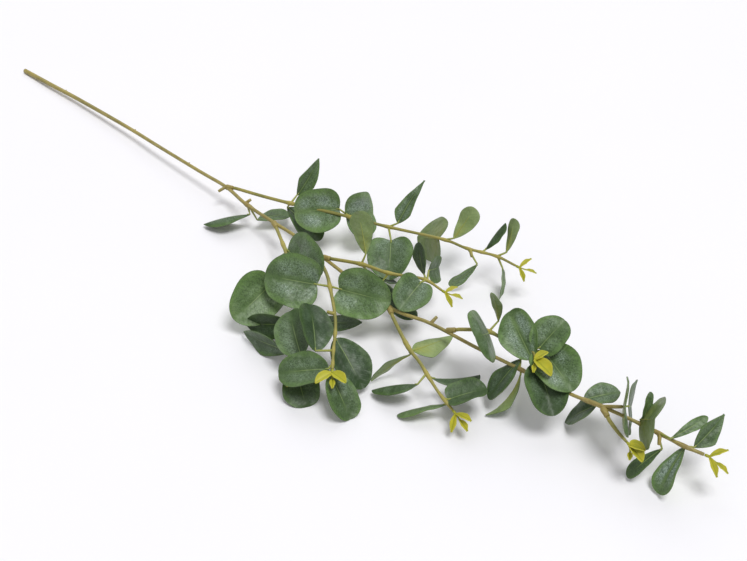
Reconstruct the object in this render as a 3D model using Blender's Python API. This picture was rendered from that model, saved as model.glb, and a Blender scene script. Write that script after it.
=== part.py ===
"""An artificial eucalyptus spray, cut long and lying on a flat surface.

One moulded main stem carries leaf pairs of its own and seven plug-in twigs. Each twig has
leaf pairs on short stalks, and the stem and every twig end in a small yellow-green shoot tip.
+X runs from the butt of the main stem to its tip, +Z is up, and Z = 0 is the surface.
"""
import random
from collections import namedtuple
from math import cos, exp, log, pi, radians, sin

import bmesh
import bpy
from mathutils import Matrix, Vector

MM = 0.001

# Routes are measured from the butt, and the middle of the spray's box is the origin
MIDDLE = Vector((456.1, -42.3, 0)) * MM

# Clearance between pieces that plug together
GAP = 0.3 * MM

# The main stem and the twigs
BUTT_RADIUS = 2.5 * MM
STEM_RADIUS = 1.8 * MM
TIP_RADIUS = 1.4 * MM
TWIG_RADIUS = 1.6 * MM
TWIG_END_RADIUS = 1.1 * MM
TAPER_TURNS = 0.3
KNUCKLE = 0.4
KNUCKLE_REACH = 4 * MM
STUB_TAPER = 0.85
STRAIGHT = 3 * MM

# Leaf stalks, from the root on the twig to the end of the rib in the blade
STALK = 9 * MM
STALK_RADIUS = 0.8 * MM
STALK_SHAPE = (1.3, 1, 1, 0.75)
STALK_BEND = 0.55
RIB_SHARE = 0.14

# Leaf blades: thickness, least half width, how far the base lobes reach back, and the wave
BLADE = 0.7 * MM
NARROWEST = 0.9 * MM
LOBE = 0.38
WAVE = 0.12

# Width to length of a slim and a plump blade, where each is broadest, and how round its base is
SLIM_AND_PLUMP = (0.6, 0.95)
BROADEST = (0.56, 0.44)
BASE_ROUNDNESS = (1.3, 2.1)

# How softly a blade bends as it meets the surface
SOFTNESS = 1.2 * MM
PRESS = 0.3

# Shoot tips
CROWN = 3.5 * MM
LEAFLET_BLUNT = 1.2
LEAFLET_FOLD = 25
LEAFLET_STALK = 5
LEAFLET_STALK_ROOT = 1.2 * MM
LEAFLET_SINK = 0.5

# The plug that holds a twig in its collar on the stem
COLLAR = 9 * MM
COLLAR_RADIUS = 2.7 * MM
COLLAR_TAPER = 0.9
HOLE_RADIUS = 1.4 * MM
HOLE_DEPTH = 5 * MM
HOLE_PAST_MOUTH = 1 * MM
PEG_RADIUS = 1.0 * MM
PEG = 4.5 * MM
PEG_IN_TWIG = 2 * MM

# Mesh fineness
SAMPLE = 20 * MM
FINE_SAMPLE = 5 * MM
RING_APART = 1.5 * MM
ALONG = 7
ACROSS = 2
LEAFLET_ALONG = 3
LEAFLET_ACROSS = 2
STEM_ROUNDNESS = 2
TWIG_ROUNDNESS = 1
STALK_ROUNDNESS = 0

# Routes of the stem and the twigs, in millimetres from the butt
ROUTES = {
    "main_stem": [
        (0, 0, 2.4), (50, -1, 5), (106, -1, 7), (194, -4, 11), (250, -8, 14), (319, -12, 17), (362, -15, 20),
        (399, -23, 22), (441, -27, 24), (472, -29, 25), (523, -37, 27), (603, -49, 30), (645, -42, 31),
        (693, -41, 33), (737, -37, 33), (780, -35, 35), (810, -31, 37), (841, -26, 36), (873, -22, 34),
        (891, -18, 33),
    ],
    "twig_a": [
        (362, -15, 20), (380, -12, 25), (407, -10, 29), (439, -4, 33), (468, 5, 35), (500, 16, 36),
        (535, 28, 36), (585, 49, 35), (608, 54, 34), (634, 64, 33), (654, 67, 31),
    ],
    "twig_b": [
        (441, -27, 24), (460, -38, 26), (482, -52, 26), (505, -70, 26), (528, -90, 25), (553, -108, 23),
        (577, -131, 20), (587, -147, 18),
    ],
    "twig_c": [
        (500, -34, 26), (520, -45, 31), (536, -55, 34), (552, -67, 35), (585, -95, 34), (607, -121, 32),
        (620, -136, 30),
    ],
    "twig_d": [(514, -36, 27), (535, -34, 34), (556, -29, 38), (584, -25, 41), (611, -11, 41), (631, -10, 39)],
    "twig_e": [
        (605, -49, 30), (630, -67, 31), (648, -75, 30), (666, -81, 28), (678, -86, 26), (697, -93, 22),
        (714, -97, 18),
    ],
    "twig_f": [
        (662, -41, 32), (676, -36, 40), (694, -28, 43), (712, -27, 43), (726, -25, 44), (738, -26, 47),
        (744, -32, 49),
    ],
    "twig_h": [(810, -32, 37), (822, -40, 36), (831, -43, 34), (841, -46, 33)],
}

# A leaf stands on its twig at so many millimetres along it. Its blade points along heading and
# rise, in degrees, and turn rolls it about that line. A stalk that isn't in line with the blade
# is given as its reach in millimetres. Arch bends the rib and fold lifts the two halves, both in
# degrees. Broad is where it is broadest, from 0 to 1, and blunt runs from 1, pointed, to 2, round.
Leaf = namedtuple(
    "Leaf", "along heading rise long wide turn stalk arch fold broad blunt", defaults=(None, 18, 12, None, 2)
)

LEAVES = {
    "main_stem": [
        Leaf(403, -140, -16, 48, 26, 30, (7, -4, -5), fold=-22, blunt=1.4),
        Leaf(406, 67, -7, 34, 20, 0, (11, -1, -10), fold=6),
        Leaf(739, -101, -39, 42, 25, 25, (-3, 6, 5), fold=4),
        Leaf(741, -105, -40, 45, 20, -135, (1, -2, -3), arch=50, blunt=1.2),
        Leaf(807, -165, -54, 38, 24, -15, (1, 3, -4), fold=6, broad=0.42, blunt=1.3),
        Leaf(802, 54, 4, 30, 22, 8, (-4, 1, -2), fold=10, broad=0.6, blunt=1.4),
        Leaf(814, -62, 47, 36, 46, -85, (12, 11, 0), arch=8, fold=3),
        Leaf(814, 109, -45, 37, 44, 80, (15, 14, 0), arch=8, fold=3),
        Leaf(849, 106, 55, 25, 12, 65, (-3, 0, 2), fold=5),
        Leaf(848, -43, 49, 37, 44, -115, (-4, 2, 2), arch=8),
        Leaf(860, -121, -43, 35, 13, 0, (8, -4, -9), fold=8, broad=0.68),
        Leaf(861, 68, 14, 34, 9, 30, (11, -2, 4), fold=4, broad=0.65),
        Leaf(880, -90, -45, 41, 22, 25, (2, 2, -2), fold=10, broad=0.72),
        Leaf(883, 83, 20, 36, 19, 45, (5, 4, 0), broad=0.38, blunt=1.15),
    ],
    "twig_a": [
        Leaf(81, 91, 39, 41, 21, 70, (-2, 11, 3), fold=10, broad=0.34, blunt=1.3),
        Leaf(81, 3, -25, 46, 28, 10, (-7, 2, -9)),
        Leaf(144, -147, -11, 44, 44, -50, (-15, 0, 2)),
        Leaf(144, 86, -22, 38, 48, 60, (-5, -1, -2)),
        Leaf(182, 93, 33, 48, 19, -5, (6, 6, 4), fold=8, broad=0.22, blunt=1.1),
        Leaf(182, -51, -16, 43, 44, 5, (11, -9, -5)),
        Leaf(236, 168, -30, 36, 46, 126, (-6, -1, -1)),
        Leaf(236, 80, 45, 34, 21, -170, (7, 4, 3), fold=8, broad=0.7),
        Leaf(260, -120, -34, 32, 13, -85, (14, -4, -8), fold=6, broad=0.7),
        Leaf(273, 69, 51, 31, 18, -30, (0, 5, 0), fold=-22),
        Leaf(287, 104, 67, 33, 13, 160, (5, 7, 3), fold=8, broad=0.72),
        Leaf(288, -57, -58, 29, 20, -80, (7, -1, -9), fold=4),
    ],
    "twig_b": [
        Leaf(37, -10, 8, 54, 48, 40, (10, -4, 1)),
        Leaf(64, -89, -13, 48, 46, -40, (10, -31, 1)),
        Leaf(132, 54, -15, 50, 17, 80, (8, 4, -3), fold=6, blunt=1.4),
        Leaf(136, -156, -15, 46, 30, -80, (-1, -6, -2), blunt=1.3),
        Leaf(172, 146, 12, 46, 36, -28, (8, -6, 4), broad=0.42),
        Leaf(172, -177, -11, 58, 24, -85, (-6, -3, -3), blunt=1.3),
        Leaf(180, -30, -27, 28, 32, 5, (10, -11, -8), fold=5),
    ],
    "twig_c": [
        Leaf(63, -148, 5, 46, 50, -48, (-8, -8, 3)),
        Leaf(63, 20, 1, 48, 46, 47),
        Leaf(121, -16, -27, 49, 34, 0, (1, -1, -4)),
        Leaf(140, 140, 15, 46, 34, 31, (-8, -13, 4)),
        Leaf(154, -144, -13, 43, 33, -25, (0, -5, -2)),
        Leaf(154, -16, -41, 40, 30, -5, (4, -7, -5)),
    ],
    "twig_d": [
        Leaf(43, 147, 46, 39, 24, 142, (0, 6, 8), fold=6, broad=0.72),
        Leaf(43, 51, -20, 22, 14, -15, (9, 8, -18), fold=8),
        Leaf(72, 13, -39, 44, 26, 85, (-2, -6, -7)),
        Leaf(106, -84, -13, 34, 34, -20, (-1, -6, 1)),
        Leaf(106, 149, 57, 29, 18, -70, (-4, 2, 3), fold=4),
        Leaf(107, 101, -28, 22, 25, 75, (-5, 8, 4)),
    ],
    "twig_e": [
        Leaf(47, -125, -36, 41, 15, 65, (9, -5, -3), fold=8),
        Leaf(52, 80, -12, 46, 24, 180, (3, 2, -3), arch=6, broad=0.32, blunt=1.3),
        Leaf(82, -153, -24, 42, 22, 30, (0, -11, -4), fold=-22, broad=0.35),
        Leaf(85, 51, -4, 40, 23, -38, (2, 3, -3), arch=-18, fold=-26),
        Leaf(112, -141, -21, 42, 15, 25, (0, 1, -4), fold=-10, broad=0.6),
        Leaf(109, 52, 11, 32, 30, -5, (3, 3, -1)),
    ],
    "twig_f": [
        Leaf(35, -74, 36, 41, 46, -50, (6, -4, 4), fold=-5),
        Leaf(38, -147, 77, 31, 12, 52, (1, 11, 5), fold=6),
        Leaf(76, 153, 19, 46, 34, -40, (8, -5, -2)),
        Leaf(76, 78, 32, 31, 32, 15, (8, 3, 4)),
        Leaf(78, -22, -8, 43, 40, 12, (9, 7, -1)),
        Leaf(76, -35, -20, 47, 36, 5, (12, -4, -4)),
    ],
    "twig_h": [],
}

# Cut stubs and the side twiglet: millimetres along, heading, rise and length
STUBS = {
    "main_stem": [
        (362, -100, -10, 9), (399, 60, 30, 7), (650, 80, 30, 8), (814, 13, 27, 17), (862, -60, -20, 9),
    ],
    "twig_a": [(262, -40, -20, 8)],
    "twig_c": [(98, -150, 10, 7)],
}

# The shoot at each end: heading, rise, length and width of its three leaflets
SHOOTS = {
    "main_stem": [(49, 22, 15, 7), (-31, -28, 16, 7), (-3, -16, 18, 6)],
    "twig_a": [(73, 21, 14, 6), (-22, -43, 13, 6), (25, -10, 16, 5)],
    "twig_b": [(-103, -7, 14, 7), (-36, -10, 14, 7), (-68, -15, 15, 6)],
    "twig_c": [(-101, -3, 17, 12), (-4, 2, 16, 12), (-47, -8, 15, 6)],
    "twig_d": [(63, 14, 12, 6), (-19, -31, 14, 6), (25, -11, 16, 6)],
    "twig_e": [(5, 4, 15, 8), (-65, -38, 15, 7), (-13, -22, 17, 7)],
    "twig_f": [(60, 25, 12, 9), (-15, -4, 20, 15), (-60, -2, 14, 5)],
    "twig_h": [(15, 2, 12, 12), (-12, -22, 15, 13), (-55, -32, 11, 5)],
}


def clear_scene():
    for item in list(bpy.data.objects):
        bpy.data.objects.remove(item)


def plastic(name, colour, roughness):
    material = bpy.data.materials.new(name)
    material.use_nodes = True
    shader = material.node_tree.nodes["Principled BSDF"]
    shader.inputs["Base Color"].default_value = (*colour, 1)
    shader.inputs["Roughness"].default_value = roughness
    return material


def direction(heading, rise):
    """A unit vector from a heading and a rise in degrees."""
    level = cos(radians(rise))
    return Vector((level * cos(radians(heading)), level * sin(radians(heading)), sin(radians(rise))))


def smooth_route(points):
    """Places read from one smooth curve through the route's own points."""
    ends = [points[0] * 2 - points[1], *points, points[-1] * 2 - points[-2]]
    places = []
    for p0, p1, p2, p3 in zip(ends, ends[1:], ends[2:], ends[3:]):
        count = max(1, round((p2 - p1).length / FINE_SAMPLE))
        for index in range(count):
            t = index / count
            places.append(
                (p1 * 2 + (p2 - p0) * t + (p0 * 2 - p1 * 5 + p2 * 4 - p3) * t ** 2
                 + (p1 * 3 - p0 - p2 * 3 + p3) * t ** 3) / 2
            )
    return [*places, points[-1]]


def at_distance(places, distance):
    """The place and heading so far along a row of places."""
    for a, b in zip(places, places[1:]):
        size = (b - a).length
        if distance <= size or b is places[-1]:
            return a + (b - a) * (distance / size), (b - a).normalized()
        distance -= size


def route_of(name):
    return [Vector(point) * MM - MIDDLE for point in ROUTES[name]]


def tube(name, places, radii, roundness):
    """A closed round rod through the places, with one radius for each."""
    curve = bpy.data.curves.new(name, "CURVE")
    curve.dimensions = "3D"
    curve.bevel_depth = 1
    curve.bevel_resolution = roundness
    curve.use_fill_caps = True
    spline = curve.splines.new("POLY")
    spline.points.add(len(places) - 1)
    for point, place, radius in zip(spline.points, places, radii):
        point.co = (*place, 1)
        point.radius = radius
    rod = bpy.data.objects.new(name, curve)
    bpy.context.scene.collection.objects.link(rod)
    mesh = bpy.data.meshes.new_from_object(rod.evaluated_get(bpy.context.evaluated_depsgraph_get()))
    bpy.data.objects.remove(rod)
    bm = bmesh.new()
    bm.from_mesh(mesh)
    bmesh.ops.remove_doubles(bm, verts=bm.verts, dist=0.001 * MM)
    for vert in bm.verts:
        vert.co.z = max(vert.co.z, 0)
    return solid(name, bm)


def solid(name, bm):
    mesh = bpy.data.meshes.new(name)
    bm.to_mesh(mesh)
    bm.free()
    item = bpy.data.objects.new(name, mesh)
    bpy.context.scene.collection.objects.link(item)
    return item


def rod_radius(distance, total, first, middle, last, knuckles):
    """Taper from first to middle to last, swollen at each knuckle."""
    share = distance / total
    radius = first + (middle - first) * min(1, share / TAPER_TURNS)
    radius += (last - middle) * max(0, (share - TAPER_TURNS) / (1 - TAPER_TURNS))
    swell = max((exp(-(((distance - knot) / KNUCKLE_REACH) ** 2)) for knot in knuckles), default=0)
    return radius * (1 + KNUCKLE * swell)


def knuckled_rod(name, route, radii, knuckles, roundness):
    """A stem with a swelling at each knuckle and extra rings around it."""
    places = smooth_route(route)
    total = sum((b - a).length for a, b in zip(places, places[1:]))
    stations = {0, STRAIGHT, total - STRAIGHT, total}
    for knot in knuckles:
        stations.update(knot + side * KNUCKLE_REACH for side in (-1.2, 0, 1.2))
    for index in range(1, round(total / SAMPLE)):
        station = index * SAMPLE
        if all(abs(station - knot) > 2 * KNUCKLE_REACH for knot in knuckles):
            stations.add(station)
    rings = []
    for station in sorted(s for s in stations if 0 <= s <= total):
        if not rings or station - rings[-1] > RING_APART or station == total:
            rings.append(station)
    centres = [at_distance(places, station)[0] for station in rings]
    sizes = [rod_radius(station, total, *radii, knuckles) for station in rings]
    return tube(name, centres, sizes, roundness)


def between(pair, share):
    return pair[0] + (pair[1] - pair[0]) * share


def plumpness(leaf):
    """0 for a slim blade, 1 for a round one."""
    slim, plump = SLIM_AND_PLUMP
    return min(1, max(0, (leaf.wide / leaf.long - slim) / (plump - slim)))


def outline(leaf, share):
    """Half width of a blade at a share of its length, as a share of its greatest half width."""
    plump = plumpness(leaf)
    broadest = leaf.broad or between(BROADEST, plump)
    if share < broadest:
        rest, power = 1 - share / broadest, between(BASE_ROUNDNESS, plump)
    else:
        rest, power = (share - broadest) / (1 - broadest), leaf.blunt
    return (1 - rest ** power) ** (1 / power)


def blade_place(leaf, t, u, wave=0):
    """The middle surface of a blade lying along +X: t runs to the tip, u from edge to edge."""
    long = leaf.long * MM
    half = max(leaf.wide / 2 * MM * outline(leaf, t), NARROWEST)
    bend = radians(leaf.arch)
    angle = bend * (t - 0.5)
    x = long / bend * (sin(angle) + sin(bend / 2)) - LOBE * plumpness(leaf) * half * u * u * (1 - t) ** 2
    z = long / bend * (cos(angle) - cos(bend / 2))
    tilt = radians(leaf.fold) * (1 + 0.6 * abs(u))
    lift = half * abs(u) * sin(tilt) + wave * half * u * u * sin(2 * pi * t + 2.1 * u)
    return Vector((x + lift * sin(angle), half * u * cos(tilt), z + lift * cos(angle)))


def blade_turn(heading, rise, turn):
    """Turns +X to heading and rise, with the blade rolled about that line."""
    pitch = Matrix.Rotation(radians(heading), 4, "Z") @ Matrix.Rotation(radians(-rise), 4, "Y")
    return pitch @ Matrix.Rotation(radians(turn), 4, "X")


def settle(height):
    """The height of a blade that bends as it comes down on the surface, and never sinks into it."""
    return max(0, SOFTNESS * (log(1 + exp(height / SOFTNESS)) - PRESS))


def blade(name, leaf, base, wave, along=ALONG, across=ACROSS):
    """One leaf blade of real thickness, kept on or above the surface."""
    bm = bmesh.new()
    bmesh.ops.create_grid(bm, x_segments=along, y_segments=across, size=1)
    turn = blade_turn(leaf.heading, leaf.rise, leaf.turn)
    for vert in bm.verts:
        t = (1 - cos(pi * (vert.co.x + 1) / 2)) / 2
        vert.co = base + turn @ blade_place(leaf, t, vert.co.y, wave)
        vert.co.z = BLADE / 2 + settle(vert.co.z - BLADE / 2)
    bmesh.ops.triangulate(bm, faces=bm.faces, quad_method="FIXED")
    bm.normal_update()
    for vert in bm.verts:
        vert.co += vert.normal * BLADE / 2
    bmesh.ops.solidify(bm, geom=bm.faces[:], thickness=BLADE)
    for vert in bm.verts:
        vert.co.z = max(vert.co.z, 0)
    return solid(name, bm)


def stalk(name, root, leaf, base):
    """The short stalk from the twig's middle into the blade, where it becomes the rib."""
    rib = blade_turn(leaf.heading, leaf.rise, leaf.turn) @ blade_place(leaf, RIB_SHARE, 0)
    places = [root, root.lerp(base, STALK_BEND), base, base + rib]
    return tube(name, places, [STALK_RADIUS * size for size in STALK_SHAPE], STALK_ROUNDNESS)


def leaves_on(name, places):
    """Every leaf of one stem, with its stalk."""
    pieces = []
    draw = random.Random(name)
    for number, leaf in enumerate(LEAVES[name]):
        root, _ = at_distance(places, leaf.along * MM)
        ahead = direction(leaf.heading, leaf.rise)
        reach = Vector(leaf.stalk) * MM if leaf.stalk else ahead * STALK
        base = root + reach
        pieces.append(blade(f"{name}_blade_{number}", leaf, base, draw.uniform(-WAVE, WAVE)))
        pieces.append(stalk(f"{name}_stalk_{number}", root, leaf, base))
    return pieces


def stubs_on(name, places):
    pieces = []
    for number, (along, heading, rise, long) in enumerate(STUBS.get(name, [])):
        root, _ = at_distance(places, along * MM)
        end = root + direction(heading, rise) * long * MM
        sizes = [TWIG_RADIUS, TWIG_RADIUS * STUB_TAPER]
        pieces.append(tube(f"{name}_stub_{number}", [root, end], sizes, TWIG_ROUNDNESS))
    return pieces


def collar(name, twig):
    """A short sleeve on the stem that a twig's peg plugs into."""
    start, towards = twig_start(twig)
    places = [start, start + towards * COLLAR]
    return tube(name, places, [COLLAR_RADIUS, COLLAR_RADIUS * COLLAR_TAPER], STEM_ROUNDNESS)


def hole(name, twig):
    """The blind hole in a collar, which runs on past its mouth."""
    start, towards = twig_start(twig)
    places = [start + towards * (COLLAR - HOLE_DEPTH), start + towards * (COLLAR + HOLE_PAST_MOUTH)]
    return tube(name, places, [HOLE_RADIUS, HOLE_RADIUS], STEM_ROUNDNESS)


def twig_start(name):
    route = route_of(name)
    return route[0], (route[1] - route[0]).normalized()


def twig_route(name):
    """The twig's route, which starts clear of its collar's mouth."""
    start, towards = twig_start(name)
    first = start + towards * (COLLAR + GAP)
    return [first, first + towards * STRAIGHT, *route_of(name)[2:]]


def peg(name, twig):
    start, towards = twig_start(twig)
    mouth = COLLAR + GAP
    places = [start + towards * (mouth - PEG), start + towards * (mouth + PEG_IN_TWIG)]
    return tube(name, places, [PEG_RADIUS, PEG_RADIUS], TWIG_ROUNDNESS)


def combine(body, pieces, operation):
    """Joins the pieces to the body, or cuts them from it, and then removes them."""
    group = bpy.data.collections.new(body.name + "_repeats")
    bpy.context.scene.collection.children.link(group)
    for piece in pieces:
        bpy.context.scene.collection.objects.unlink(piece)
        group.objects.link(piece)
    join = body.modifiers.new("join", "BOOLEAN")
    join.operation = operation
    join.operand_type = "COLLECTION"
    join.collection = group
    join.solver = "MANIFOLD"
    mesh = bpy.data.meshes.new_from_object(body.evaluated_get(bpy.context.evaluated_depsgraph_get()))
    body.modifiers.remove(join)
    body.data = mesh
    for piece in pieces:
        bpy.data.objects.remove(piece)
    bpy.data.collections.remove(group)


def finish(body, material):
    body.data.materials.clear()
    body.data.materials.append(material)
    body.data.shade_smooth()
    body.data.set_sharp_from_angle(angle=radians(50))


def make_main_stem(material):
    route = route_of("main_stem")
    places = smooth_route(route)
    knuckles = sorted({leaf.along * MM for leaf in LEAVES["main_stem"]})
    radii = (BUTT_RADIUS, STEM_RADIUS, TIP_RADIUS)
    body = knuckled_rod("main_stem", route, radii, knuckles, STEM_ROUNDNESS)
    pieces = leaves_on("main_stem", places) + stubs_on("main_stem", places)
    pieces += [collar(f"collar_{twig}", twig) for twig in ROUTES if twig != "main_stem"]
    combine(body, pieces, "UNION")
    holes = [hole(f"hole_{twig}", twig) for twig in ROUTES if twig != "main_stem"]
    combine(body, holes, "DIFFERENCE")
    finish(body, material)


def make_twig(name, material):
    route = twig_route(name)
    places = smooth_route(route)
    shift = COLLAR + GAP
    knuckles = sorted({leaf.along * MM - shift for leaf in LEAVES[name]})
    radii = (TWIG_RADIUS, TWIG_RADIUS, TWIG_END_RADIUS)
    body = knuckled_rod(name, route, radii, knuckles, TWIG_ROUNDNESS)
    # Distances along a twig are counted from the middle of the stem
    whole = [route_of(name)[0], *places]
    pieces = leaves_on(name, whole) + stubs_on(name, whole) + [peg(f"{name}_peg", name)]
    combine(body, pieces, "UNION")
    finish(body, material)


def make_shoot(name, material):
    """The yellow-green tip: two broad leaflets and a smaller one on a thin stalk."""
    route = route_of(name) if name == "main_stem" else twig_route(name)
    places = smooth_route(route)
    ahead = (places[-1] - places[-2]).normalized()
    foot = places[-1] + ahead * GAP
    crown = foot + ahead * CROWN
    body = tube(f"shoot_{name}", [foot, crown], [TWIG_END_RADIUS, TWIG_END_RADIUS], TWIG_ROUNDNESS)
    pieces = []
    for number, (heading, rise, long, wide) in enumerate(SHOOTS[name]):
        bare = LEAFLET_STALK if number == 2 else -LEAFLET_SINK
        leaflet = Leaf(0, heading, rise, long - bare, wide, 0, fold=LEAFLET_FOLD, blunt=LEAFLET_BLUNT)
        base = crown + direction(heading, rise) * bare * MM
        pieces.append(blade(f"leaflet_{number}", leaflet, base, 0, LEAFLET_ALONG, LEAFLET_ACROSS))
        if number == 2:
            pieces.append(stalk("leaflet_stalk", crown - ahead * LEAFLET_STALK_ROOT, leaflet, base))
    combine(body, pieces, "UNION")
    finish(body, material)


def main():
    clear_scene()
    green = plastic("leaf_green", (0.09, 0.16, 0.08), 0.6)
    olive = plastic("stem_olive", (0.28, 0.23, 0.07), 0.5)
    yellow = plastic("shoot_yellow", (0.5, 0.44, 0.05), 0.5)
    make_main_stem(olive)
    for name in ROUTES:
        if name != "main_stem":
            make_twig(name, green)
        make_shoot(name, yellow)


main()
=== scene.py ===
"""Looks of the artificial eucalyptus spray: moulded stems, printed leaves and soft shoot tips.

Every stem is a rod with knuckles, every leaf a thin blade on a moulded stalk that runs on as its
rib, and every shoot three folded leaflets. They follow the routes and leaf places of the solids
that they stand for.
"""
import random
from collections import namedtuple
from math import cos, exp, log, pi, radians, sin, sqrt

import bmesh
import bpy
from mathutils import Matrix, Vector


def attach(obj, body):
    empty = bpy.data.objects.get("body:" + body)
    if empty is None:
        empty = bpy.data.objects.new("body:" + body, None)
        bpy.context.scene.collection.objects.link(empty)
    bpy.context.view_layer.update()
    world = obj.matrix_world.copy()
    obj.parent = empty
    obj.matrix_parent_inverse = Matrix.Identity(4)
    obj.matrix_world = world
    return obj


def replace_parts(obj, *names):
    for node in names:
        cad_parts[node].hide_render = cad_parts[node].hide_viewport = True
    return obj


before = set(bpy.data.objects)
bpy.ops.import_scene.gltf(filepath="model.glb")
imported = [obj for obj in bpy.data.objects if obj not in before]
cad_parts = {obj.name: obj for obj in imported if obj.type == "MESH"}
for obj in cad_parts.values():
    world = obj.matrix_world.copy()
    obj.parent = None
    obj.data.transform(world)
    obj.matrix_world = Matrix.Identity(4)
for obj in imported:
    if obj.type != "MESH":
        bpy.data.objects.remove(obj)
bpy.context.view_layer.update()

MM = 0.001

# Routes are measured from the butt, and the middle of the spray's box is the origin
MIDDLE = Vector((456.1, -42.3, 0)) * MM

# Clearance between pieces that plug together
GAP = 0.3 * MM

# The main stem and the twigs
BUTT_RADIUS = 2.5 * MM
STEM_RADIUS = 1.8 * MM
TIP_RADIUS = 1.4 * MM
TWIG_RADIUS = 1.6 * MM
TWIG_END_RADIUS = 1.1 * MM
TAPER_TURNS = 0.3
KNUCKLE = 0.4
KNUCKLE_REACH = 4 * MM
STUB_TAPER = 0.85
STRAIGHT = 3 * MM

# Low domes that close the rods: their height and rim as shares of the radius
DOME_HEIGHT = 0.25
DOME_RIM = 0.7

# Leaf stalks, which taper from the twig to the blade and run on a little way in it
STALK = 9 * MM
STALK_RADIUS = 0.8 * MM
STALK_TAPER = (1.35, 0.85)
STALK_STRAIGHT = 0.6 * MM
STALK_IN_BLADE = 0.06
LONG_STALK = 14 * MM

# Ribs under the blades: where they start and end along it, and how deep they lie in its thickness
RIB_RADII = (0.55 * MM, 0.2 * MM)
RIB_START = 0.01
RIB_SHARE = 0.72
RIB_STEPS = 9
RIB_DEPTH = 0.45

# Leaf blades, a little thinner here than in the solids, and their least half width
BLADE = 0.55 * MM
SOLID_BLADE = 0.7 * MM
NARROWEST = 0.9 * MM

# How far the lobes of a round blade reach back, how wide the crease along its rib is, and how much
# its halves wave and puff up and its edges ripple and wander
LOBE = 0.38
CREASE = 0.07
WAVE = 0.12
PUFF = 0.05
RIPPLE = 0.35 * MM
UNEVEN = 0.035

# Width to length of a slim and a plump blade, where each is broadest, and how round its base is
SLIM_AND_PLUMP = (0.6, 0.95)
BROADEST = (0.56, 0.44)
BASE_ROUNDNESS = (1.3, 2.1)

# How softly a blade bends as it meets the surface
SOFTNESS = 1.2 * MM
PRESS = 0.3

# Shoot tips
CROWN = 3.5 * MM
LEAFLET_BLUNT = 1.2
BROAD_LEAFLET_BLUNT = 0.3
LEAFLET_FOLD = 25
LEAFLET_STALK = 5
LEAFLET_SINK = 0.5
LEAFLET_STALK_RADII = (0.7 * MM, 0.6 * MM, 0.6 * MM)

# The sleeve that holds a twig on the stem: share along it, width and how brown it is
COLLAR = 9 * MM
COLLAR_RADIUS = 2.7 * MM
COLLAR_SHAPE = [(0, 1.05, 0.8), (0.35, 1, 0.7), (0.7, 0.86, 0.6), (0.9, 0.84, 0.9), (1, 0.78, 1)]

# Small moulding nubs on the bare stem
NUB_RISE = 35
NUB_HEIGHT = 0.7 * MM
NUB_SLANT = 0.6 * MM
NUB_RADII = (0.9 * MM, 0.5 * MM)

# Mesh fineness
FINE_SAMPLE = 5 * MM
RING_STEP = 2.5 * MM
SIDES = 14
STALK_SIDES = 8
LEAF_GRID = (22, 14)
LEAFLET_GRID = (12, 8)

# Edges sharper than this, in degrees, stay sharp
SHARP_ROD = 50
SHARP_LEAF = 70

# Strength of the highlights on moulded plastic, and on cloth and the pale surface
PLASTIC_GLOSS = 0.45
CLOTH_GLOSS = 0.5

# The pale surface, wide enough to fill a low view
FLOOR_REACH = 40
FLOOR_ROUGHNESS = 0.8

# The camera stands to the viewer's side of the spray, 41 degrees above the surface
AIM = Vector((0.0927, 0.0362, 0))
CAMERA_AZIMUTH = -48.3
CAMERA_RISE = 41
CAMERA_DISTANCE = 1.06
FOCAL_SHARE = 1149 / 747
SENSOR = 36

# Studio light: an even pale sky, a broad soft light above the viewer and a weaker one beyond the
# spray. Places are in metres to the front, to the right and up, and spreads in radians
SKY_COLOUR = (0.97, 0.97, 1, 1)
SKY_STRENGTH = 0.38
KEY_PLACE = (0.3, 0.5, 2)
KEY_SPREAD = 0.45
KEY_STRENGTH = 1.9
BACK_PLACE = (-1.3, 0, 1.3)
BACK_SPREAD = 0.8
BACK_STRENGTH = 0.6

# Routes of the stem and the twigs, in millimetres from the butt
ROUTES = {
    "main_stem": [
        (0, 0, 2.4), (50, -1, 5), (106, -1, 7), (194, -4, 11), (250, -8, 14), (319, -12, 17), (362, -15, 20),
        (399, -23, 22), (441, -27, 24), (472, -29, 25), (523, -37, 27), (603, -49, 30), (645, -42, 31),
        (693, -41, 33), (737, -37, 33), (780, -35, 35), (810, -31, 37), (841, -26, 36), (873, -22, 34),
        (891, -18, 33),
    ],
    "twig_a": [
        (362, -15, 20), (380, -12, 25), (407, -10, 29), (439, -4, 33), (468, 5, 35), (500, 16, 36),
        (535, 28, 36), (585, 49, 35), (608, 54, 34), (634, 64, 33), (654, 67, 31),
    ],
    "twig_b": [
        (441, -27, 24), (460, -38, 26), (482, -52, 26), (505, -70, 26), (528, -90, 25), (553, -108, 23),
        (577, -131, 20), (587, -147, 18),
    ],
    "twig_c": [
        (500, -34, 26), (520, -45, 31), (536, -55, 34), (552, -67, 35), (585, -95, 34), (607, -121, 32),
        (620, -136, 30),
    ],
    "twig_d": [
        (514, -36, 27), (535, -34, 34), (556, -29, 38), (584, -25, 41), (611, -11, 41), (631, -10, 39),
    ],
    "twig_e": [
        (605, -49, 30), (630, -67, 31), (648, -75, 30), (666, -81, 28), (678, -86, 26), (697, -93, 22),
        (714, -97, 18),
    ],
    "twig_f": [
        (662, -41, 32), (676, -36, 40), (694, -28, 43), (712, -27, 43), (726, -25, 44), (738, -26, 47),
        (744, -32, 49),
    ],
    "twig_h": [(810, -32, 37), (822, -40, 36), (831, -43, 34), (841, -46, 33)],
}

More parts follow.
